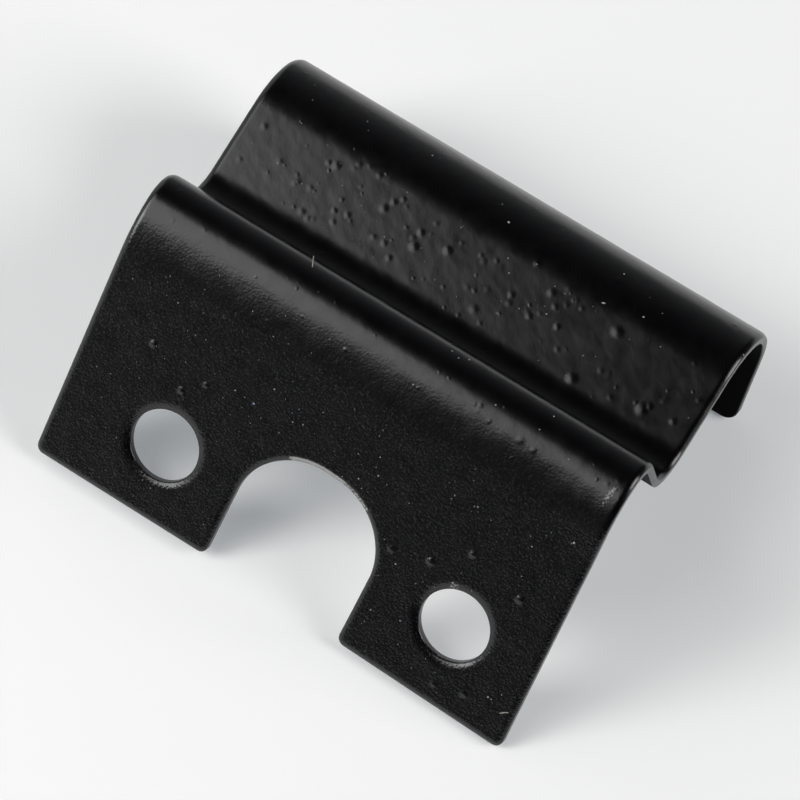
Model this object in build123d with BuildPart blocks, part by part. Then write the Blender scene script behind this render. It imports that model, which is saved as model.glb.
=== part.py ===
from build123d import *
from math import asin, atan2, degrees
import os

os.makedirs("parts", exist_ok=True)

# Folded sheet spring clip: one thin steel strip, punched flat and then bent.
# X runs along the bends, Y from the drilled flange back to the hook, Z is up.
# It stands on the flange's free edge and the lip's free edge, floor at Z = 0.

# Sheet and its punched edges: rounded over on the outer face, crisp inside.
clip_width = 32.0
sheet = 0.65
rolled_edge = 0.4
burr_edge = 0.08

# Section, followed along the outer face from the flange to the lip.
flange_length = 14.4
brow_radius = 7.0
brow_angle = 27.5
crest_radius = 2.0
crest_angle = 96.0
drop_length = 3.4
valley_radius = 2.1
valley_angle = 93.5
panel_length = 4.5
hook_radius = 4.0
hook_angle = 131.5
lip_length = 4.95

# Two round fixing holes, heights measured up the flange from its free edge.
hole_radius = 2.15
hole_height = 5.15
left_hole_offset = -9.0
right_hole_offset = 10.6

# Open notch between the two wings of the flange.
notch_width = 9.1
notch_depth = 9.1
notch_flat = 0.7
notch_offset = 0.3
notch_angle = 2.0

# The free edge is cut a little uneven: each wing stops short of the full length.
left_wing_short = 0.5
right_wing_short = 0.3

# Corners of the blank.
flange_corner = 0.5
lip_corner = 0.9

half_width = clip_width / 2
notch_right = notch_offset + notch_width / 2
notch_corner = (notch_width - notch_flat) / 2
near_floor = 1.0
tolerance = 0.001

# The outer face as one run of straights and bends, flange first.
with BuildLine() as outer_face:
    flange_run = Line((0, 0), (flange_length, 0))
    brow_run = JernArc(flange_run @ 1, flange_run % 1, brow_radius, -brow_angle)
    crest_run = JernArc(brow_run @ 1, brow_run % 1, crest_radius, -crest_angle)
    drop_run = PolarLine(crest_run @ 1, drop_length, direction=crest_run % 1)
    valley_run = JernArc(drop_run @ 1, drop_run % 1, valley_radius, valley_angle)
    panel_run = PolarLine(valley_run @ 1, panel_length, direction=valley_run % 1)
    hook_run = JernArc(panel_run @ 1, panel_run % 1, hook_radius, -hook_angle)
    lip_run = PolarLine(hook_run @ 1, lip_length, direction=hook_run % 1)

# Lean of the flange that sets both free edges on the floor: the floor is the
# line touching the rounding inside the flange's edge and that outside the lip's.
foot_centre = Vector(burr_edge, burr_edge - sheet)
lip_way = lip_run % 1
lip_out = lip_way.rotate(Axis.Z, 90)
lip_centre = lip_run @ 1 - (lip_way + lip_out) * rolled_edge
stride = lip_centre - foot_centre
lean = asin((rolled_edge - burr_edge) / stride.length) - atan2(stride.Y, stride.X)
flange_lean = degrees(lean)

# Plane of the section: local X up the flange, local Y out of the outer face.
up_flange = Vector(0, 1, 0).rotate(Axis.X, flange_lean)
out_of_flange = Vector(0, 0, 1).rotate(Axis.X, flange_lean)
foot_drop = up_flange * foot_centre.X + out_of_flange * foot_centre.Y
hook_reach = up_flange * hook_run.arc_center.X + out_of_flange * hook_run.arc_center.Y
foot_reach = rolled_edge * (up_flange.Y - out_of_flange.Y - 1)
section_origin = Vector(
    0,
    -(foot_reach + hook_reach.Y + hook_radius) / 2,
    burr_edge - foot_drop.Z,
)
section_plane = Plane(section_origin, x_dir=up_flange, z_dir=(1, 0, 0))
flange_plane = Plane(section_origin, x_dir=(1, 0, 0), z_dir=out_of_flange)


def depth_in_sheet(edge):
    """Distance of an edge's middle from the outer face of the sheet."""
    middle = section_plane.to_local_coords(edge @ 0.5)
    return outer_face.line.distance_to(Vector(middle.X, middle.Y))


with BuildPart() as clip:
    # Bent strip, full width.
    with BuildSketch(section_plane) as section:
        with BuildLine() as strip_edge:
            add(outer_face.line)
            offset(amount=sheet, side=Side.RIGHT)
        make_face()
    extrude(amount=half_width, both=True)

    # Fixing holes.
    with BuildSketch(flange_plane) as fixing_holes:
        with Locations(
            (left_hole_offset, hole_height),
            (right_hole_offset, hole_height),
        ):
            Circle(hole_radius)
    extrude(amount=sheet, both=True, mode=Mode.SUBTRACT)

    # Notch, its end rounded, leaning a little to the right.
    with BuildSketch(flange_plane) as notch:
        with Locations(Location((notch_offset, 0), -notch_angle)):
            RectangleRounded(notch_width, 2 * notch_depth, notch_corner)
    extrude(amount=sheet, both=True, mode=Mode.SUBTRACT)

    # Uneven free edge: left wing cut short, right wing cut on a slant.
    with BuildSketch(flange_plane) as free_edge:
        with Locations((-half_width, 0)):
            Rectangle(
                half_width,
                left_wing_short,
                align=(Align.MIN, Align.MIN),
            )
        with BuildLine():
            Polyline(
                (0, 0),
                (half_width, 0),
                (notch_right, right_wing_short),
                (0, right_wing_short),
                close=True,
            )
        make_face()
    extrude(amount=sheet, both=True, mode=Mode.SUBTRACT)

    # Corners of the wings and of the lip, rounded in the flat blank.
    corners = clip.edges().filter_by(
        lambda edge: abs(edge.length - sheet) < tolerance
        and edge.center().Z < near_floor
    )
    fillet(corners.filter_by(lambda edge: edge.center().Y < 0), flange_corner)
    fillet(corners.filter_by(lambda edge: edge.center().Y > 0), lip_corner)

    # Punched edges rounded over all round the outer face; the lines where one
    # bend runs into the next are full width, and stay as they are.
    outline = clip.edges().filter_by(
        lambda edge: clip_width - edge.length > tolerance
        or abs(edge.center().X) > tolerance
    )
    outer_rim = outline.filter_by(
        lambda edge: depth_in_sheet(edge) < tolerance
    )
    inner_rim = outline.filter_by(
        lambda edge: sheet - depth_in_sheet(edge) < tolerance
    )
    fillet(outer_rim, rolled_edge)
    fillet(inner_rim, burr_edge)
clip.part.label = "clip"
export_step(clip.part, "parts/clip.step")
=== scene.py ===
import math
import random
import bpy
import numpy as np
from mathutils import Matrix, Vector
from mathutils.geometry import delaunay_2d_cdt
from mathutils.kdtree import KDTree


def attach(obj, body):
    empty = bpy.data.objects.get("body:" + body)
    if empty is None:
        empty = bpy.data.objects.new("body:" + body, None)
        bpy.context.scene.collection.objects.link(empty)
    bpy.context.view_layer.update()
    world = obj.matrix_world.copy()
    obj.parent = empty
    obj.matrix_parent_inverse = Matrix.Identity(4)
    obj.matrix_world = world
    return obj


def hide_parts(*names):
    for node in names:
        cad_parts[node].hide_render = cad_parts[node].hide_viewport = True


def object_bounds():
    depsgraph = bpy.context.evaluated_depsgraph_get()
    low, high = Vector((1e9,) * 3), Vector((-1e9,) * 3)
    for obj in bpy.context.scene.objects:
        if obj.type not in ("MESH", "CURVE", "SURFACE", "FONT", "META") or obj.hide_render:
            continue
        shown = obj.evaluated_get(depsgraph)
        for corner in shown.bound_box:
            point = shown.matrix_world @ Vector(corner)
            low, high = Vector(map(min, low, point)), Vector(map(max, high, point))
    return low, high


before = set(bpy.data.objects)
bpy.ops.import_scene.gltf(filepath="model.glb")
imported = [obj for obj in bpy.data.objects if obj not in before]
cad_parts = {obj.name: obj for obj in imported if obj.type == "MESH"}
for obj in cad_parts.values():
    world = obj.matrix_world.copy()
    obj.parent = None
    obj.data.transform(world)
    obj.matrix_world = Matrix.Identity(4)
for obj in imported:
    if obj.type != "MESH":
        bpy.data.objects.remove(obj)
cad_low, cad_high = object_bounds()

# ------------------------------------------------------------------ folded strip
# The clip is one piece of thin spring-steel sheet, punched flat with two round
# holes and an open notch, then folded along parallel lines: a slanted flange, a
# rolled crest, a narrow valley, a short panel and a hook that comes back down.
mm = 0.001
half_width = 16.0 * mm
sheet = 0.65 * mm
stretches = (
    (14.4 * mm, 0.0),
    (7.0 * mm, -27.5),
    (2.0 * mm, -96.0),
    (3.4 * mm, 0.0),
    (2.1 * mm, 93.5),
    (4.5 * mm, 0.0),
    (4.0 * mm, -131.5),
    (4.95 * mm, 0.0),
)
rolled_width = 0.46 * mm
rolled_depth = 0.17 * mm
burr = 0.08 * mm

# Punched edge, outer face to inner face: a wide shallow roll-over, a wall, a burr.
roll = np.linspace(0, 1, 8)
curl = np.radians(np.linspace(0, 90, 4))
edge_profile = np.concatenate([
    np.stack([rolled_width * (1 - roll), rolled_depth * roll ** 2.6], axis=1),
    [(0.0, rolled_depth + 0.03 * mm)],
    np.stack([burr * (1 - np.cos(curl)), sheet - burr * (1 - np.sin(curl))], axis=1),
])
hole_radius = 2.15 * mm
holes = ((-9.0 * mm, 5.15 * mm), (10.6 * mm, 5.15 * mm))
notch_width = 9.1 * mm
notch_depth = 9.1 * mm
notch_corner = 4.2 * mm
notch_centre = 0.3 * mm
notch_lean = math.radians(2.0)
left_wing_foot = 0.5 * mm
right_wing_foot = 0.3 * mm
wing_corner = 0.5 * mm
lip_corner = 0.9 * mm


def lay_out(size, turn):
    """Length of a stretch along the outer face, and how fast it turns."""
    if turn == 0.0:
        return size, 0.0
    return size * abs(math.radians(turn)), math.copysign(1 / size, turn)


def fold(along, depth, settle=(0.0, 0.0, 0.0)):
    """Section points and outward directions for places on the flat blank:
    distance along the outer face from the flange's foot, and depth below it."""
    lean, shift_y, shift_z = settle
    points = np.zeros((len(along), 2))
    headings = np.zeros(len(along))
    start, heading, reached = np.zeros(2), 0.0, 0.0
    for size, turn in stretches:
        length, rate = lay_out(size, turn)
        here = (along >= reached - 1e-12) & (along <= reached + length + 1e-9)
        for run, target in ((along[here] - reached, here), (np.array([length]), None)):
            if rate == 0.0:
                step = np.outer(run, (math.cos(heading), math.sin(heading)))
                faced = np.full(len(run), heading)
            else:
                faced = heading + rate * run
                step = np.stack(
                    [np.sin(faced) - math.sin(heading), math.cos(heading) - np.cos(faced)],
                    axis=1,
                ) / rate
            if target is not None:
                points[target] = start + step
                headings[target] = faced
            else:
                next_start, next_heading = start + step[0], faced[0]
        start, heading, reached = next_start, next_heading, reached + length
    outward = np.stack([-np.sin(headings), np.cos(headings)], axis=1)
    points = points - outward * depth[:, None]
    c, s = math.cos(lean), math.sin(lean)
    turned = np.array([[c, s], [-s, c]])
    return points @ turned + (shift_y, shift_z), outward @ turned


def settle_on_floor():
    """Strip's length, and the flange's lean and lift that set both free edges down."""
    total = sum(lay_out(*stretch)[0] for stretch in stretches)
    inset, depth = edge_profile.T
    lean = 0.9  # radians, a first guess that the rounds below correct
    for _ in range(8):
        foot = fold(inset, depth, (lean, 0.0, 0.0))[0]
        lip = fold(total - inset, depth, (lean, 0.0, 0.0))[0]
        lean -= (lip[:, 1].min() - foot[:, 1].min()) / (lip[:, 0].mean() - foot[:, 0].mean())
    return total, lean, -foot[:, 1].min()


strip_length, lean, lift = settle_on_floor()


def rounded_outline(corners, step):
    """Points about a step apart round a closed outline with the metal on its left,
    its corners (x, along, radius) rounded, and at each point the way into the metal."""
    bends = []
    for k in range(len(corners)):
        near = [np.array(corners[j % len(corners)][:2]) for j in (k - 1, k, k + 1)]
        back, ahead = (
            (end - near[1]) / np.linalg.norm(end - near[1]) for end in (near[0], near[2])
        )
        half = math.acos(np.clip(back @ ahead, -1, 1)) / 2
        middle = (back + ahead) / np.linalg.norm(back + ahead)
        radius = corners[k][2]
        reach = radius / math.tan(half)
        left = 1.0 if back[1] * ahead[0] - back[0] * ahead[1] > 0 else -1.0
        bends.append((
            near[1] + middle * radius / math.sin(half),
            near[1] + back * reach,
            near[1] + ahead * reach,
            left,
        ))
    points, inward = [], []
    for k, (centre, start, end, left) in enumerate(bends):
        first, last = (math.atan2(*(p - centre)[::-1]) for p in (start, end))
        sweep = (last - first) % (2 * math.pi) if left > 0 else -((first - last) % (2 * math.pi))
        radius = np.linalg.norm(start - centre)
        for share in np.linspace(0, 1, max(3, math.ceil(abs(sweep) * radius / step))):
            out = np.array([math.cos(first + sweep * share), math.sin(first + sweep * share)])
            points.append(centre + radius * out)
            inward.append(-left * out)
        following = bends[(k + 1) % len(bends)][1]
        run = following - end
        pieces = max(1, round(np.linalg.norm(run) / step))
        across = np.array([-run[1], run[0]]) / np.linalg.norm(run)
        for share in np.arange(1, pieces) / pieces:
            points.append(end + run * share)
            inward.append(across)
    return np.array(points), np.array(inward)


rim_step = 0.15 * mm
hole_roll_share = 1.45
across_notch = np.array([math.cos(notch_lean), -math.sin(notch_lean)])
into_notch = np.array([math.sin(notch_lean), math.cos(notch_lean)])
notch_foot = np.array([notch_centre, 0.0])
left_wall = notch_foot - across_notch * notch_width / 2
right_wall = notch_foot + across_notch * notch_width / 2
left_mouth = left_wall + into_notch * (left_wing_foot - left_wall[1]) / into_notch[1]
right_mouth = right_wall + into_notch * (right_wing_foot - right_wall[1]) / into_notch[1]
blank = rounded_outline(
    (
        (-half_width, left_wing_foot, wing_corner),
        (*left_mouth, wing_corner),
        (*(left_wall + into_notch * notch_depth), notch_corner),
        (*(right_wall + into_notch * notch_depth), notch_corner),
        (*right_mouth, wing_corner),
        (half_width, 0.0, wing_corner),
        (half_width, strip_length, lip_corner),
        (-half_width, strip_length, lip_corner),
    ),
    rim_step,
)
loops = [blank]
for hole_x, hole_along in holes:
    turn = -np.linspace(0, 2 * math.pi, 91)[:-1]
    spoke = np.stack([np.cos(turn), np.sin(turn)], axis=1)
    loops.append((np.array([hole_x, hole_along]) + hole_radius * spoke, hole_roll_share * spoke))

# Nibs: grains caught under the coat, (x, along, radius, height) in millimetres.
nibs = [
    (-3.5, 30.9, 0.22, 0.045), (-3.4, 30.0, 0.28, 0.055), (-1.6, 30.8, 0.26, 0.055),
    (-7.7, 29.6, 0.20, 0.04), (-8.5, 29.4, 0.18, 0.03), (-8.2, 28.8, 0.20, 0.025),
    (-5.0, 29.3, 0.20, 0.035), (-4.3, 28.7, 0.20, 0.035), (-6.1, 31.0, 0.26, 0.045),
    (-5.8, 31.6, 0.20, 0.035), (-5.4, 32.0, 0.18, 0.03), (-9.8, 31.7, 0.26, 0.04),
    (-10.3, 31.6, 0.18, 0.025), (-14.7, 31.5, 0.22, 0.03), (-10.4, 29.8, 0.20, 0.02),
    (-12.8, 30.2, 0.20, 0.02), (-10.1, 28.4, 0.24, 0.03), (3.2, 32.8, 0.24, 0.045),
    (4.8, 31.8, 0.26, 0.045), (5.4, 31.2, 0.20, 0.03), (6.1, 30.3, 0.20, 0.04),
    (4.4, 30.0, 0.22, 0.035), (2.9, 30.5, 0.22, 0.03), (1.5, 28.7, 0.26, 0.03),
    (9.2, 31.8, 0.34, 0.07), (12.7, 28.8, 0.36, 0.07), (13.0, 29.1, 0.24, 0.05),
    (8.4, 28.2, 0.34, 0.07), (14.6, 29.1, 0.22, 0.04), (6.8, 29.2, 0.18, 0.025),
    (10.2, 16.9, 0.20, 0.035), (9.3, 17.0, 0.26, 0.03), (6.4, 17.5, 0.18, 0.025),
    (9.8, 9.7, 0.26, 0.05), (13.3, 8.8, 0.26, 0.05), (7.8, 7.9, 0.26, 0.05),
    (-9.4, 8.8, 0.24, 0.04), (-12.0, 10.4, 0.24, 0.04), (5.5, 7.3, 0.26, 0.03),
    (-8.2, 9.9, 0.20, 0.03), (12.8, 1.9, 0.26, 0.03), (11.0, 1.4, 0.24, 0.025),
]
chance = random.Random(11)
for count, first, last, tallest in ((70, 1.5, 18.0, 0.022), (60, 27.0, 33.0, 0.022), (30, 34.0, 44.0, 0.02)):
    for _ in range(count):
        nibs.append((
            chance.uniform(-15.2, 15.2),
            chance.uniform(first, last),
            chance.uniform(0.12, 0.22),
            chance.uniform(0.008, tallest),
        ))

# The tall nibs on the flange stand out; all others lie lower under the coat.
nib_spread = 1.25
tall_nib_share = 1.7
low_nib_share = 0.6
tall_nib = 0.0225
nibs = [
    (
        x * mm,
        along * mm,
        nib_spread * radius * mm,
        (tall_nib_share if along < 14 and height > tall_nib else low_nib_share) * height * mm,
    )
    for x, along, radius, height in nibs
]


def inside_metal(places, margin):
    """Which places on the flat blank lie in the metal, a margin clear of every edge."""
    tree = KDTree(sum(len(points) for points, _ in loops))
    ways = np.concatenate([inward for _, inward in loops])
    for index, point in enumerate(np.concatenate([points for points, _ in loops])):
        tree.insert((*point, 0.0), index)
    tree.balance()
    kept = np.zeros(len(places), bool)
    for index, place in enumerate(places):
        nearest, found, _ = tree.find((*place, 0.0))
        kept[index] = (place - np.array(nearest[:2])) @ ways[found] > margin * (ways[found] @ ways[found])
    return kept


def face_net(inset, spacing, with_nibs):
    """Triangles over one face of the flat blank: the edge loops set in by inset first,
    then a square net, with rings of closer points round each nib."""
    rings = [points + inward * inset for points, inward in loops]
    across = np.arange(-half_width + spacing / 2, half_width, spacing)
    up = np.arange(spacing / 2, strip_length, spacing)
    net = np.stack(np.meshgrid(across, up), axis=-1).reshape(-1, 2)
    clear = np.ones(len(net), bool)
    dots = []
    if with_nibs:
        for x, along, radius, _ in nibs:
            clear &= np.hypot(net[:, 0] - x, net[:, 1] - along) > 1.45 * radius
            dots.append((x, along))
            for share, sides in ((0.3, 6), (0.6, 10), (0.9, 14), (1.2, 16)):
                turn = np.linspace(0, 2 * math.pi, sides + 1)[:-1] + share
                dots.extend(zip(x + share * radius * np.cos(turn), along + share * radius * np.sin(turn)))
    net = np.concatenate([net[clear], np.array(dots)]) if dots else net
    net = net[inside_metal(net, inset + 0.55 * min(spacing, rim_step * 1.5))]
    places = np.concatenate([*rings, net])
    edges, base = [], 0
    for ring in rings:
        edges += [(base + i, base + (i + 1) % len(ring)) for i in range(len(ring))]
        base += len(ring)
    flat = delaunay_2d_cdt([Vector(p / mm) for p in places], edges, [], 0, 1e-7, True)
    source = np.array([sources[0] for sources in flat[3]])
    triangles = source[np.array(flat[2])]
    on_edge = (triangles < base).all(axis=1)
    middles = places[triangles[on_edge]].mean(axis=1)
    kept = np.ones(len(triangles), bool)
    kept[on_edge] = in_outline(middles, rings)
    return places, triangles[kept]


def in_outline(places, rings):
    """Whether each place is inside the outer ring and outside the others, by crossings."""
    crossings = np.zeros(len(places), int)
    for ring in rings:
        after = np.roll(ring, -1, axis=0)
        for (x0, y0), (x1, y1) in zip(ring, after):
            spans = (y0 > places[:, 1]) != (y1 > places[:, 1])
            if spans.any():
                crossing_x = x0 + (places[spans, 1] - y0) * (x1 - x0) / (y1 - y0)
                crossings[spans] += places[spans, 0] < crossing_x
    return crossings % 2 == 1


outer_places, outer_faces = face_net(rolled_width, 0.155 * mm, True)
inner_places, inner_faces = face_net(burr, 0.4 * mm, False)

flat_x, flat_along, flat_depth = [outer_places[:, 0]], [outer_places[:, 1]], [np.zeros(len(outer_places))]
faces = [tuple(face) for face in outer_faces]
ring_starts = [0]
made = len(outer_places)
for inset, depth in edge_profile[1:-1]:
    ring_starts.append(made)
    ring = np.concatenate([points + inward * inset for points, inward in loops])
    flat_x.append(ring[:, 0])
    flat_along.append(ring[:, 1])
    flat_depth.append(np.full(len(ring), depth))
    made += len(ring)
ring_starts.append(made)
flat_x.append(inner_places[:, 0])
flat_along.append(inner_places[:, 1])
flat_depth.append(np.full(len(inner_places), sheet))
faces += [tuple(made + face[::-1]) for face in inner_faces]
for upper, lower in zip(ring_starts, ring_starts[1:]):
    base = 0
    for points, _ in loops:
        for i in range(len(points)):
            j = (i + 1) % len(points)
            faces.append((upper + base + i, lower + base + i, lower + base + j, upper + base + j))
        base += len(points)
flat_x, flat_along, flat_depth = (np.concatenate(parts) for parts in (flat_x, flat_along, flat_depth))

swell = np.zeros(len(flat_x))
on_outer_face = flat_depth < rolled_depth * 0.5
for x, along, radius, height in nibs:
    away = np.hypot(flat_x - x, flat_along - along) / radius
    close = (away < 1) & on_outer_face
    swell[close] = np.maximum(swell[close], height * (1 - away[close] ** 2) ** 2)

# The brow and crest flare up towards the right end, as a bend does at a cut edge. Along
# the strip the flare starts at its foot, is full from there on and fades out to its end.
flare_height = 0.15 * mm
flare_start = 10.5 * mm
flare_foot = 13.0 * mm
flare_full = 16.0 * mm
flare_fade = 17.0 * mm
flare_end = 19.2 * mm
flare = np.clip((flat_x - flare_start) / (half_width - flare_start), 0, 1) ** 2
flare *= np.clip((flat_along - flare_foot) / (flare_full - flare_foot), 0, 1)
flare *= np.clip((flare_end - flat_along) / (flare_end - flare_fade), 0, 1)
swell += flare_height * flare

# Steel grey painted where the coat is rubbed off, and as a painted highlight of the floor's light on the
# rounded edge: (x, along, half width, half length, how strong) in mm. At the notch and the right hole it is
# only on the rolled edge.
wear_and_highlight = np.zeros(len(flat_x))
wear_and_highlight_top = 0.012 * mm
wear_and_highlight_bottom = 0.18 * mm
near_cut = (flat_depth > wear_and_highlight_top) & (flat_depth < wear_and_highlight_bottom)
for x, along, half_x, half_along, amount in (
    (-0.3, 9.2, 1.7, 1.0, 1.0), (2.2, 8.8, 1.1, 1.0, 0.66), (9.6, 7.3, 0.3, 0.4, 0.55),
):
    away = np.hypot((flat_x / mm - x) / half_x, (flat_along / mm - along) / half_along)
    wear_and_highlight = np.maximum(wear_and_highlight, amount * np.clip(4.0 * (1.25 - away), 0, 1) * near_cut)

# A narrow scuff across the brow's right end, a little askew, painted lighter: partly rubbed coat, partly a
# painted highlight where the brow's sheen widens.
scuff_sheen_middle = 16.9 * mm
scuff_sheen_half_width = 0.22 * mm
scuff_sheen_half_length = 1.0 * mm
scuff_sheen_lightness = 0.62
scuff_sheen_line = 15.1 * mm + 0.1 * (flat_along - 17.0 * mm)
scuff_sheen = np.hypot((flat_x - scuff_sheen_line) / scuff_sheen_half_width, (flat_along - scuff_sheen_middle) / scuff_sheen_half_length)
wear_and_highlight = np.maximum(wear_and_highlight, scuff_sheen_lightness * np.clip(1.5 - scuff_sheen, 0, 1))

section, outward = fold(flat_along, flat_depth - swell, (lean, 0.0, lift))
centring = (cad_low.y + cad_high.y) / 2 - (section[:, 0].min() + section[:, 0].max()) / 2
section[:, 0] += centring
body_mesh = bpy.data.meshes.new("folded_strip")
body_mesh.from_pydata(np.column_stack([flat_x, section]).tolist(), [], [tuple(map(int, f)) for f in faces])
body_mesh.polygons.foreach_set("use_smooth", [True] * len(body_mesh.polygons))
body_mesh.attributes.new("flat", "FLOAT_VECTOR", "POINT").data.foreach_set(
    "vector", np.column_stack([flat_x, flat_along, flat_depth]).ravel()
)

# Relief fades out near the floor, so that it moves neither resting edge, and the dry
# grain fades out over the brow.
for name, values in (
    ("coat", np.clip((section[:, 1] - 0.2 * mm) / (0.6 * mm), 0, 1)),
    ("wear_and_highlight", wear_and_highlight),
    ("grainy", np.clip((17.5 - flat_along / mm) / 3.0, 0, 1) * (flat_depth < 0.5 * sheet)),
    ("inside", (flat_depth > sheet - 1e-7).astype(float)),
):
    body_mesh.attributes.new(name, "FLOAT", "POINT").data.foreach_set("value", values)
strip = bpy.data.objects.new("folded_strip", body_mesh)
bpy.context.scene.collection.objects.link(strip)


def join_up(tree, socket, value):
    """Feeds a node's input from another socket, or sets it to a plain value."""
    if isinstance(value, bpy.types.NodeSocket):
        tree.links.new(value, socket)
    else:
        socket.default_value = value


def node(tree, kind, settings=None, **inputs):
    """Adds a node, with its settings and its inputs named as on the node (_ for a space)."""
    made_node = tree.nodes.new(kind)
    for name, value in (settings or {}).items():
        setattr(made_node, name, value)
    for name, value in inputs.items():
        wanted = name.replace("_", " ")
        socket = next(s for s in made_node.inputs if s.name == wanted and s.enabled)
        join_up(tree, socket, value)
    return made_node


def sums(tree, operation, first, second=0.0, third=None):
    """A Math node's result."""
    made_node = tree.nodes.new("ShaderNodeMath")
    made_node.operation = operation
    for socket, value in zip(made_node.inputs, (first, second, third)):
        if value is not None:
            join_up(tree, socket, value)
    return made_node.outputs[0]


# Black coat: a satin powder coat over the whole clip. It is a little uneven, like
# orange peel, with streaks where it was wiped on and a fine dry grain on top.
coat = bpy.data.materials.new("black_coat")
coat.use_nodes = True
paint = coat.node_tree
paint.nodes.clear()
place = node(paint, "ShaderNodeTexCoord").outputs["Object"]
grain = node(paint, "ShaderNodeTexNoise", Vector=place, Scale=9000.0, Detail=2.0, Roughness=0.6)
pebbles = node(paint, "ShaderNodeTexVoronoi", {"feature": "SMOOTH_F1"}, Vector=place,
               Scale=6500.0, Smoothness=0.4)
cloud = node(paint, "ShaderNodeTexNoise", Vector=place, Scale=900.0, Detail=3.0, Roughness=0.5)
# Mask of rubbed coat and painted highlight, frayed by the grain.
wear_and_highlight_mix = node(paint, "ShaderNodeAttribute", {"attribute_name": "wear_and_highlight"}).outputs["Fac"]
wear_and_highlight_mix = node(paint, "ShaderNodeMapRange", Value=sums(paint, "ADD", wear_and_highlight_mix, grain.outputs["Fac"]),
              From_Min=1.0, From_Max=1.3)
grainy = node(paint, "ShaderNodeAttribute", {"attribute_name": "grainy"}).outputs["Fac"]
tone = node(paint, "ShaderNodeValToRGB", Fac=sums(paint, "MULTIPLY", grain.outputs["Fac"],
            sums(paint, "MULTIPLY_ADD", grainy, 0.25, 0.75)))
tone.color_ramp.elements[0].position = 0.55
tone.color_ramp.elements[0].color = (0.0010, 0.0010, 0.0014, 1)
tone.color_ramp.elements[1].position = 0.73
tone.color_ramp.elements[1].color = (0.028, 0.028, 0.030, 1)
# Steel grey painted in by that mask: partly bare metal, partly painted highlight.
skin = node(paint, "ShaderNodeMix", {"data_type": "RGBA"}, Factor=wear_and_highlight_mix.outputs["Result"],
            A=tone.outputs["Color"], B=(0.34, 0.34, 0.33, 1))
rough = node(paint, "ShaderNodeMapRange", Value=cloud.outputs["Fac"],
             From_Min=0.3, From_Max=0.7, To_Min=0.21, To_Max=0.27)

# Pimples: round grains of powder under the coat, in about a third of the cells.
cells = node(paint, "ShaderNodeTexVoronoi", Vector=place, Scale=1700.0)
pimple = node(paint, "ShaderNodeMapRange", {"interpolation_type": "SMOOTHSTEP"},
              Value=cells.outputs["Distance"], From_Min=0.06, From_Max=0.24, To_Min=1.0, To_Max=0.0)
chosen = node(paint, "ShaderNodeSeparateColor", Color=cells.outputs["Color"])
chosen = node(paint, "ShaderNodeMapRange", Value=chosen.outputs["Red"], From_Min=0.62, From_Max=1.0)
pimples = sums(paint, "MULTIPLY", pimple.outputs["Result"], chosen.outputs["Result"])
pimple_bump = node(paint, "ShaderNodeBump", Strength=1.0, Distance=0.012 * mm, Height=pimples)
pebble_height = sums(paint, "MULTIPLY", pebbles.outputs["Distance"],
                     sums(paint, "MULTIPLY_ADD", grainy, 0.9, 0.1))
pebble_bump = node(paint, "ShaderNodeBump", {"invert": True}, Strength=1.0, Distance=0.012 * mm,
                   Height=pebble_height, Normal=pimple_bump.outputs["Normal"])
fine_bump = node(paint, "ShaderNodeBump", Strength=1.0, Distance=0.005 * mm,
                 Height=sums(paint, "MULTIPLY", grain.outputs["Fac"],
                             sums(paint, "MULTIPLY_ADD", grainy, 0.75, 0.25)),
                 Normal=pebble_bump.outputs["Normal"])
finish = node(paint, "ShaderNodeBsdfPrincipled", Base_Color=skin.outputs[2],
              Roughness=rough.outputs["Result"], Normal=fine_bump.outputs["Normal"])
finish.inputs["IOR"].default_value = 1.5
paint.links.new(finish.outputs["BSDF"], node(paint, "ShaderNodeOutputMaterial").inputs["Surface"])

# Painted shade: on the inner faces the same coat gets a weak sheen and a matt finish, so that they stay dark
# as if in shade.
shaded_inside_coat = coat.copy()
shaded_inside_coat.name = "black_coat_inside_painted_shade"
shade_finish = shaded_inside_coat.node_tree.nodes[finish.name]
shade_finish.inputs["Specular IOR Level"].default_value = 0.05
shade_matt_range = shaded_inside_coat.node_tree.nodes[rough.name].inputs
shade_matt_range["To Min"].default_value, shade_matt_range["To Max"].default_value = 0.5, 0.6

relief = bpy.data.node_groups.new("coat_relief", "GeometryNodeTree")
relief.is_modifier = True
for name, kind in (
    ("Strip", "NodeSocketGeometry"),
    ("Peel Height", "NodeSocketFloat"),
    ("Peel Size", "NodeSocketFloat"),
    ("Streak Height", "NodeSocketFloat"),
    ("Streak Size", "NodeSocketFloat"),
    ("Coat", "NodeSocketMaterial"),
    ("Painted Shade Coat", "NodeSocketMaterial"),
):
    relief.interface.new_socket(name, in_out="INPUT", socket_type=kind)
relief.interface.new_socket("Strip", in_out="OUTPUT", socket_type="NodeSocketGeometry")
given = relief.nodes.new("NodeGroupInput").outputs
flat_place = node(relief, "GeometryNodeInputNamedAttribute", {"data_type": "FLOAT_VECTOR"}, Name="flat")
coat_share = node(relief, "GeometryNodeInputNamedAttribute", {"data_type": "FLOAT"}, Name="coat")
peel = node(relief, "ShaderNodeTexNoise", Vector=flat_place.outputs[0],
            Scale=sums(relief, "DIVIDE", 1.0, given["Peel Size"]), Detail=2.0, Roughness=0.55)
swept = node(relief, "ShaderNodeVectorRotate", {"rotation_type": "Z_AXIS"},
             Vector=flat_place.outputs[0], Angle=math.radians(28))
stretched = node(relief, "ShaderNodeVectorMath", {"operation": "MULTIPLY"})
join_up(relief, stretched.inputs[0], swept.outputs[0])
stretched.inputs[1].default_value = (0.35, 1.0, 1.0)
streak = node(relief, "ShaderNodeTexNoise", Vector=stretched.outputs[0],
              Scale=sums(relief, "DIVIDE", 1.0, given["Streak Size"]), Detail=1.0, Roughness=0.5)
panel_share = node(relief, "ShaderNodeSeparateXYZ", Vector=flat_place.outputs[0]).outputs["Y"]
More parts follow.
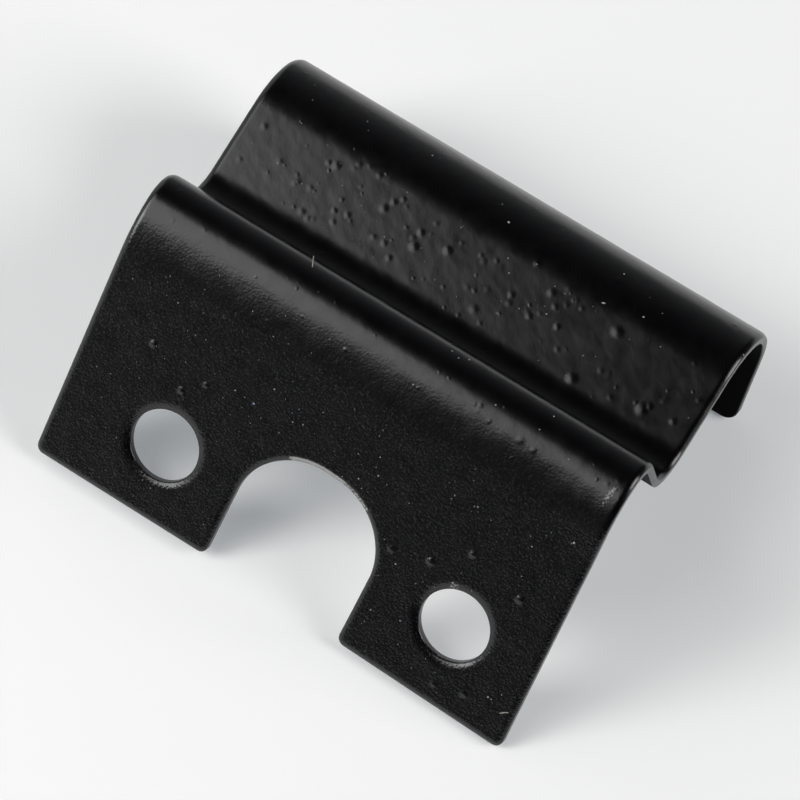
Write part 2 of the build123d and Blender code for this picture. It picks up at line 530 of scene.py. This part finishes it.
panel_share = node(relief, "ShaderNodeMapRange", Value=panel_share, From_Min=0.022, From_Max=0.026)
sunk = sums(relief, "ADD",
            sums(relief, "MULTIPLY", peel.outputs[0], given["Peel Height"]),
            sums(relief, "MULTIPLY",
                 sums(relief, "MULTIPLY", streak.outputs[0], given["Streak Height"]),
                 panel_share.outputs[0]))
sunk = sums(relief, "MULTIPLY", sunk, sums(relief, "MULTIPLY", coat_share.outputs[0], -1.0))
push = node(relief, "ShaderNodeVectorMath", {"operation": "SCALE"},
            Vector=node(relief, "GeometryNodeInputNormal").outputs[0], Scale=sunk)
moved = node(relief, "GeometryNodeSetPosition", Geometry=given["Strip"], Offset=push.outputs[0])
solid = node(relief, "GeometryNodeRealizeInstances", Geometry=moved.outputs[0])
coated = node(relief, "GeometryNodeSetMaterial", Geometry=solid.outputs[0], Material=given["Coat"])
inner = node(relief, "GeometryNodeInputNamedAttribute", {"data_type": "FLOAT"}, Name="inside")
inner = node(relief, "FunctionNodeCompare", {"data_type": "FLOAT", "operation": "GREATER_THAN"},
             A=inner.outputs[0], B=0.6)
# The inner faces get the painted-shade copy of the coat.
coated = node(relief, "GeometryNodeSetMaterial", Geometry=coated.outputs[0],
              Selection=inner.outputs[0], Material=given["Painted Shade Coat"])
relief.links.new(coated.outputs[0], relief.nodes.new("NodeGroupOutput").inputs["Strip"])


def dress(piece, tree, values):
    """Puts a tree on a piece with its inputs set, and keeps the result as a plain mesh."""
    change = piece.modifiers.new(tree.name, "NODES")
    change.node_group = tree
    sockets = {item.name: item.identifier for item in tree.interface.items_tree
               if item.in_out == "INPUT"}
    for name, value in values.items():
        change[sockets[name]] = value
    graph = bpy.context.evaluated_depsgraph_get()
    plain = bpy.data.meshes.new_from_object(piece.evaluated_get(graph), depsgraph=graph)
    piece.modifiers.remove(change)
    piece.data = plain


dress(strip, relief, {
    "Peel Height": 0.020 * mm,
    "Peel Size": 1.0 * mm,
    "Streak Height": 0.008 * mm,
    "Streak Size": 0.5 * mm,
    "Coat": coat,
    "Painted Shade Coat": shaded_inside_coat,
})
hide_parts("clip")
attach(strip, "root")

# ------------------------------------------------------------------ dust
# Dust, lint and flakes of paint lying on the coat: pale specks, and a thread of lint on
# the crest. The last two specks are long and thin, and stand for a light scratch near
# the flange's right foot.

# Each speck is (x, along, length, width, turn in degrees), lengths in millimetres.
specks = [
    (0.45, 34.05, 0.16, 0.13, 0), (7.65, 32.8, 0.24, 0.10, 20), (10.0, 33.3, 0.12, 0.10, 0),
    (2.1, 31.5, 0.09, 0.08, 0), (1.6, 32.2, 0.08, 0.08, 0), (5.2, 30.6, 0.10, 0.08, 0),
    (7.6, 35.1, 0.10, 0.08, 0), (-5.6, 35.4, 0.10, 0.08, 0), (3.2, 32.75, 0.08, 0.07, 0),
    (-5.2, 10.5, 0.14, 0.12, 0), (-2.1, 11.0, 0.09, 0.08, 0), (-2.7, 10.8, 0.08, 0.07, 0),
    (-6.5, 10.6, 0.09, 0.08, 0), (-4.45, 11.95, 0.10, 0.08, 0), (3.05, 10.75, 0.10, 0.08, 0),
    (8.9, 12.35, 0.10, 0.08, 0), (12.6, 12.0, 0.10, 0.08, 0), (14.6, 13.55, 0.16, 0.13, 30),
    (14.15, 2.55, 0.10, 0.09, 0), (6.1, 6.6, 0.11, 0.10, 0), (5.95, 3.3, 0.09, 0.08, 0),
    (7.75, 3.7, 0.09, 0.08, 0), (2.1, 9.95, 0.10, 0.09, 0), (7.1, 17.95, 0.09, 0.08, 0),
    (2.55, 16.55, 0.09, 0.08, 0), (12.15, 17.5, 0.10, 0.08, 0), (14.4, 17.45, 0.12, 0.10, 0),
    (3.3, 19.45, 0.10, 0.08, 0), (3.85, 19.25, 0.08, 0.07, 0), (4.35, 19.6, 0.10, 0.08, 0),
    (10.1, 19.2, 0.10, 0.08, 0), (-11.6, 13.4, 0.08, 0.07, 0), (7.45, 12.2, 0.08, 0.07, 0),
    (2.7, 11.8, 0.08, 0.07, 0), (9.9, 18.05, 0.08, 0.07, 0), (1.5, 9.15, 0.12, 0.09, 0),
    (15.1, 17.3, 0.16, 0.09, 88), (9.5, 7.5, 0.14, 0.09, 40),
    (15.3, 2.2, 0.50, 0.07, 40), (15.5, 2.34, 0.22, 0.06, 20),
]
settling = random.Random(23)
for count, first, last in ((150, 0.8, 16.5), (40, 28.0, 33.0), (25, 34.0, 40.0)):
    for _ in range(count):
        wide = settling.uniform(0.025, 0.055)
        specks.append((settling.uniform(-15.3, 15.3), settling.uniform(first, last),
                       wide * settling.uniform(1.0, 1.6), wide, settling.uniform(0, 180)))
specks = np.array(specks)
specks[:, :4] *= mm
specks = specks[inside_metal(specks[:, :2], 0.1 * mm)]
speck_lift = 0.005 * mm
speck_section, speck_out = fold(specks[:, 1], np.full(len(specks), -speck_lift), (lean, 0.0, lift))
speck_section[:, 0] += centring
speck_mesh = bpy.data.meshes.new("dust")
speck_mesh.from_pydata(np.column_stack([specks[:, 0], speck_section]).tolist(), [], [])
turns = []
for (_, _, _, _, turn), (out_y, out_z) in zip(specks, speck_out):
    out = Vector((0.0, out_y, out_z))
    level = Vector((1.0, 0.0, 0.0))
    turned = level * math.cos(math.radians(turn)) + out.cross(level) * math.sin(math.radians(turn))
    turns.append(tuple(Matrix((turned, out.cross(turned), out)).transposed().to_euler()))
for name, values in (
    ("turn", np.array(turns)),
    ("size", np.column_stack([specks[:, 2], specks[:, 3], 0.6 * specks[:, 3]])),
):
    speck_mesh.attributes.new(name, "FLOAT_VECTOR", "POINT").data.foreach_set("vector", values.ravel())
dust = bpy.data.objects.new("dust", speck_mesh)
bpy.context.scene.collection.objects.link(dust)

dust_look = bpy.data.materials.new("dust")
dust_look.use_nodes = True
powder = dust_look.node_tree
powder.nodes.clear()
spot = node(powder, "ShaderNodeTexCoord").outputs["Object"]
kinds = node(powder, "ShaderNodeTexNoise", Vector=spot, Scale=600.0, Detail=1.0, Roughness=0.5)
shade = node(powder, "ShaderNodeValToRGB", Fac=kinds.outputs["Fac"])
shade.color_ramp.elements[0].position = 0.3
shade.color_ramp.elements[0].color = (0.20, 0.24, 0.34, 1)
shade.color_ramp.elements[1].position = 0.7
shade.color_ramp.elements[1].color = (0.34, 0.31, 0.24, 1)
middle = shade.color_ramp.elements.new(0.5)
middle.color = (0.34, 0.34, 0.34, 1)
crumbs = node(powder, "ShaderNodeTexNoise", Vector=spot, Scale=20000.0, Detail=2.0, Roughness=0.5)
crumb_bump = node(powder, "ShaderNodeBump", Strength=1.0, Distance=0.01 * mm, Height=crumbs.outputs["Fac"])
dry = node(powder, "ShaderNodeBsdfPrincipled", Base_Color=shade.outputs["Color"], Roughness=0.9,
           Normal=crumb_bump.outputs["Normal"])
powder.links.new(dry.outputs["BSDF"], node(powder, "ShaderNodeOutputMaterial").inputs["Surface"])

scatter = bpy.data.node_groups.new("settled_dust", "GeometryNodeTree")
scatter.is_modifier = True
for name, kind in (
    ("Spots", "NodeSocketGeometry"),
    ("Lumpiness", "NodeSocketFloat"),
    ("Seed", "NodeSocketInt"),
    ("Look", "NodeSocketMaterial"),
):
    scatter.interface.new_socket(name, in_out="INPUT", socket_type=kind)
scatter.interface.new_socket("Spots", in_out="OUTPUT", socket_type="NodeSocketGeometry")
handed = scatter.nodes.new("NodeGroupInput").outputs
grit = node(scatter, "GeometryNodeMeshIcoSphere", Radius=0.5, Subdivisions=2)
speck_turn = node(scatter, "GeometryNodeInputNamedAttribute", {"data_type": "FLOAT_VECTOR"}, Name="turn")
speck_size = node(scatter, "GeometryNodeInputNamedAttribute", {"data_type": "FLOAT_VECTOR"}, Name="size")
placed = node(scatter, "GeometryNodeInstanceOnPoints", Points=handed["Spots"],
              Instance=grit.outputs["Mesh"],
              Rotation=node(scatter, "FunctionNodeEulerToRotation", Euler=speck_turn.outputs[0]).outputs[0],
              Scale=speck_size.outputs[0])
loose = node(scatter, "GeometryNodeRealizeInstances", Geometry=placed.outputs[0])
lumps = node(scatter, "FunctionNodeRandomValue", {"data_type": "FLOAT"},
             Min=sums(scatter, "MULTIPLY", handed["Lumpiness"], -1.0), Max=handed["Lumpiness"],
             Seed=handed["Seed"])
knock = node(scatter, "ShaderNodeVectorMath", {"operation": "SCALE"},
             Vector=node(scatter, "GeometryNodeInputNormal").outputs[0], Scale=lumps.outputs[1])
uneven = node(scatter, "GeometryNodeSetPosition", Geometry=loose.outputs[0], Offset=knock.outputs[0])
dusted = node(scatter, "GeometryNodeSetMaterial", Geometry=uneven.outputs[0], Material=handed["Look"])
scatter.links.new(dusted.outputs[0], scatter.nodes.new("NodeGroupOutput").inputs["Spots"])
dress(dust, scatter, {"Lumpiness": 0.006 * mm, "Seed": 5, "Look": dust_look})
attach(dust, "root")

# One thread of lint caught by its end on the crest.
thread_foot, thread_out = fold(np.array([19.40 * mm]), np.array([0.02 * mm]), (lean, 0.0, lift))
thread_foot = Vector((-5.95 * mm, thread_foot[0, 0] + centring, thread_foot[0, 1]))
thread_line = bpy.data.curves.new("lint_thread", "CURVE")
thread_line.dimensions = "3D"
spline = thread_line.splines.new("NURBS")
spline.points.add(3)
thread_run = ((0, 0, 0), (-0.06, 0.12, 0.04), (-0.20, 0.36, 0.05), (-0.33, 0.62, 0.03))
for point, away in zip(spline.points, thread_run):
    point.co = (*(thread_foot + Vector(away) * mm), 1.0)
spline.order_u = 3
spline.use_endpoint_u = True
thread_line.bevel_depth = 0.024 * mm
thread_line.bevel_resolution = 2
thread_line.use_fill_caps = True
rough_thread = bpy.data.objects.new("lint_curve", thread_line)
thread = bpy.data.objects.new("lint_thread", bpy.data.meshes.new_from_object(rough_thread))
bpy.data.objects.remove(rough_thread)
bpy.context.scene.collection.objects.link(thread)
thread.data.materials.clear()
thread.data.materials.append(dust_look)
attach(thread, "root")

# ------------------------------------------------------------------ floor and light
# A white paper floor under four soft lamps in a dim room. The overhead lamp and the tall
# side lamp make the sheen on the bends, the front lamp lights the front left, and the
# right lamp fills the shadow.
floor_mesh = bpy.data.meshes.new("paper_floor")
floor_reach = 1.5
floor_corners = [(x * floor_reach, y * floor_reach, 0) for x, y in ((-1, -1), (1, -1), (1, 1), (-1, 1))]
floor_mesh.from_pydata(floor_corners, [], [(0, 1, 2, 3)])
floor = bpy.data.objects.new("paper_floor", floor_mesh)
bpy.context.scene.collection.objects.link(floor)
paper = bpy.data.materials.new("paper")
paper.use_nodes = True
sheet_nodes = paper.node_tree
sheet_nodes.nodes.clear()
ray = node(sheet_nodes, "ShaderNodeLightPath").outputs
seen = sums(sheet_nodes, "MAXIMUM", ray["Is Camera Ray"],
            sums(sheet_nodes, "MAXIMUM", ray["Is Glossy Ray"], ray["Is Transmission Ray"]))
matt = node(sheet_nodes, "ShaderNodeBsdfDiffuse", Color=(0.84, 0.82, 0.80, 1))
glow = node(sheet_nodes, "ShaderNodeEmission", Color=(0.84, 0.93, 1.0, 1),
            Strength=sums(sheet_nodes, "MULTIPLY", seen, 0.21))
both = node(sheet_nodes, "ShaderNodeAddShader")
sheet_nodes.links.new(matt.outputs[0], both.inputs[0])
sheet_nodes.links.new(glow.outputs[0], both.inputs[1])
sheet_nodes.links.new(both.outputs[0], node(sheet_nodes, "ShaderNodeOutputMaterial").inputs["Surface"])
floor_mesh.materials.append(paper)

# Each lamp's name, place, tilt in degrees, width, height and power.
for name, spot, tilt, width, height, power in (
    ("overhead_lamp", (-0.1803, -0.1650, 0.2948), (-7.4, 1.66, 36.99), 0.25, 0.243, 0.522),
    ("side_lamp", (-0.35, -0.017, 0.22), (0.0, -90.0, 0.0), 0.40, 0.955, 0.75),
    ("front_lamp", (-0.30, -0.25, 0.24), (58.4, 0.0, -50.2), 0.20, 0.20, 0.85),
    ("right_lamp", (0.42, 0.14, 0.27), (58.6, 0.0, 108.4), 0.30, 0.30, 1.85),
):
    lamp_data = bpy.data.lights.new(name, "AREA")
    lamp_data.shape = "RECTANGLE"
    lamp_data.size = width
    lamp_data.size_y = height
    lamp_data.energy = power
    lamp = bpy.data.objects.new(name, lamp_data)
    lamp.location = spot
    lamp.rotation_euler = [math.radians(angle) for angle in tilt]
    bpy.context.scene.collection.objects.link(lamp)

room = bpy.data.worlds.new("room")
bpy.context.scene.world = room
room.use_nodes = True
air = room.node_tree
way = node(air, "ShaderNodeSeparateXYZ", Vector=node(air, "ShaderNodeTexCoord").outputs["Generated"])
low_wall = sums(air, "POWER", sums(air, "SUBTRACT", 1.0, sums(air, "MAXIMUM", way.outputs["Z"], 0.0)), 1.26)
far_wall = node(air, "ShaderNodeMapRange", Value=way.outputs["Y"],
                From_Min=-0.1, From_Max=0.1, To_Min=0.17, To_Max=0.382)
air.nodes["Background"].inputs["Color"].default_value = (0.94, 0.97, 1.0, 1)
right_wall_share = node(air, "ShaderNodeMapRange", Value=way.outputs["X"],
                        From_Min=-0.25, From_Max=0.10, To_Min=1.0, To_Max=0.12)
walls = sums(air, "MULTIPLY", far_wall.outputs["Result"], right_wall_share.outputs["Result"])
air.links.new(sums(air, "MULTIPLY", low_wall, walls),
              air.nodes["Background"].inputs["Strength"])
bpy.context.scene.view_settings.view_transform = "Standard"

# A long lens, held above the clip's front right.
eye_data = bpy.data.cameras.new("eye")
eye_data.lens = 203.906
eye_data.sensor_width = 36.0
eye_data.clip_start = 0.01
eye_data.clip_end = 20.0
eye = bpy.data.objects.new("eye", eye_data)
eye.location = (0.056887, -0.107730, 0.232429)
eye.rotation_euler = [math.radians(a) for a in (27.8354, -3.0200, 33.5281)]
bpy.context.scene.collection.objects.link(eye)
bpy.context.scene.camera = eye
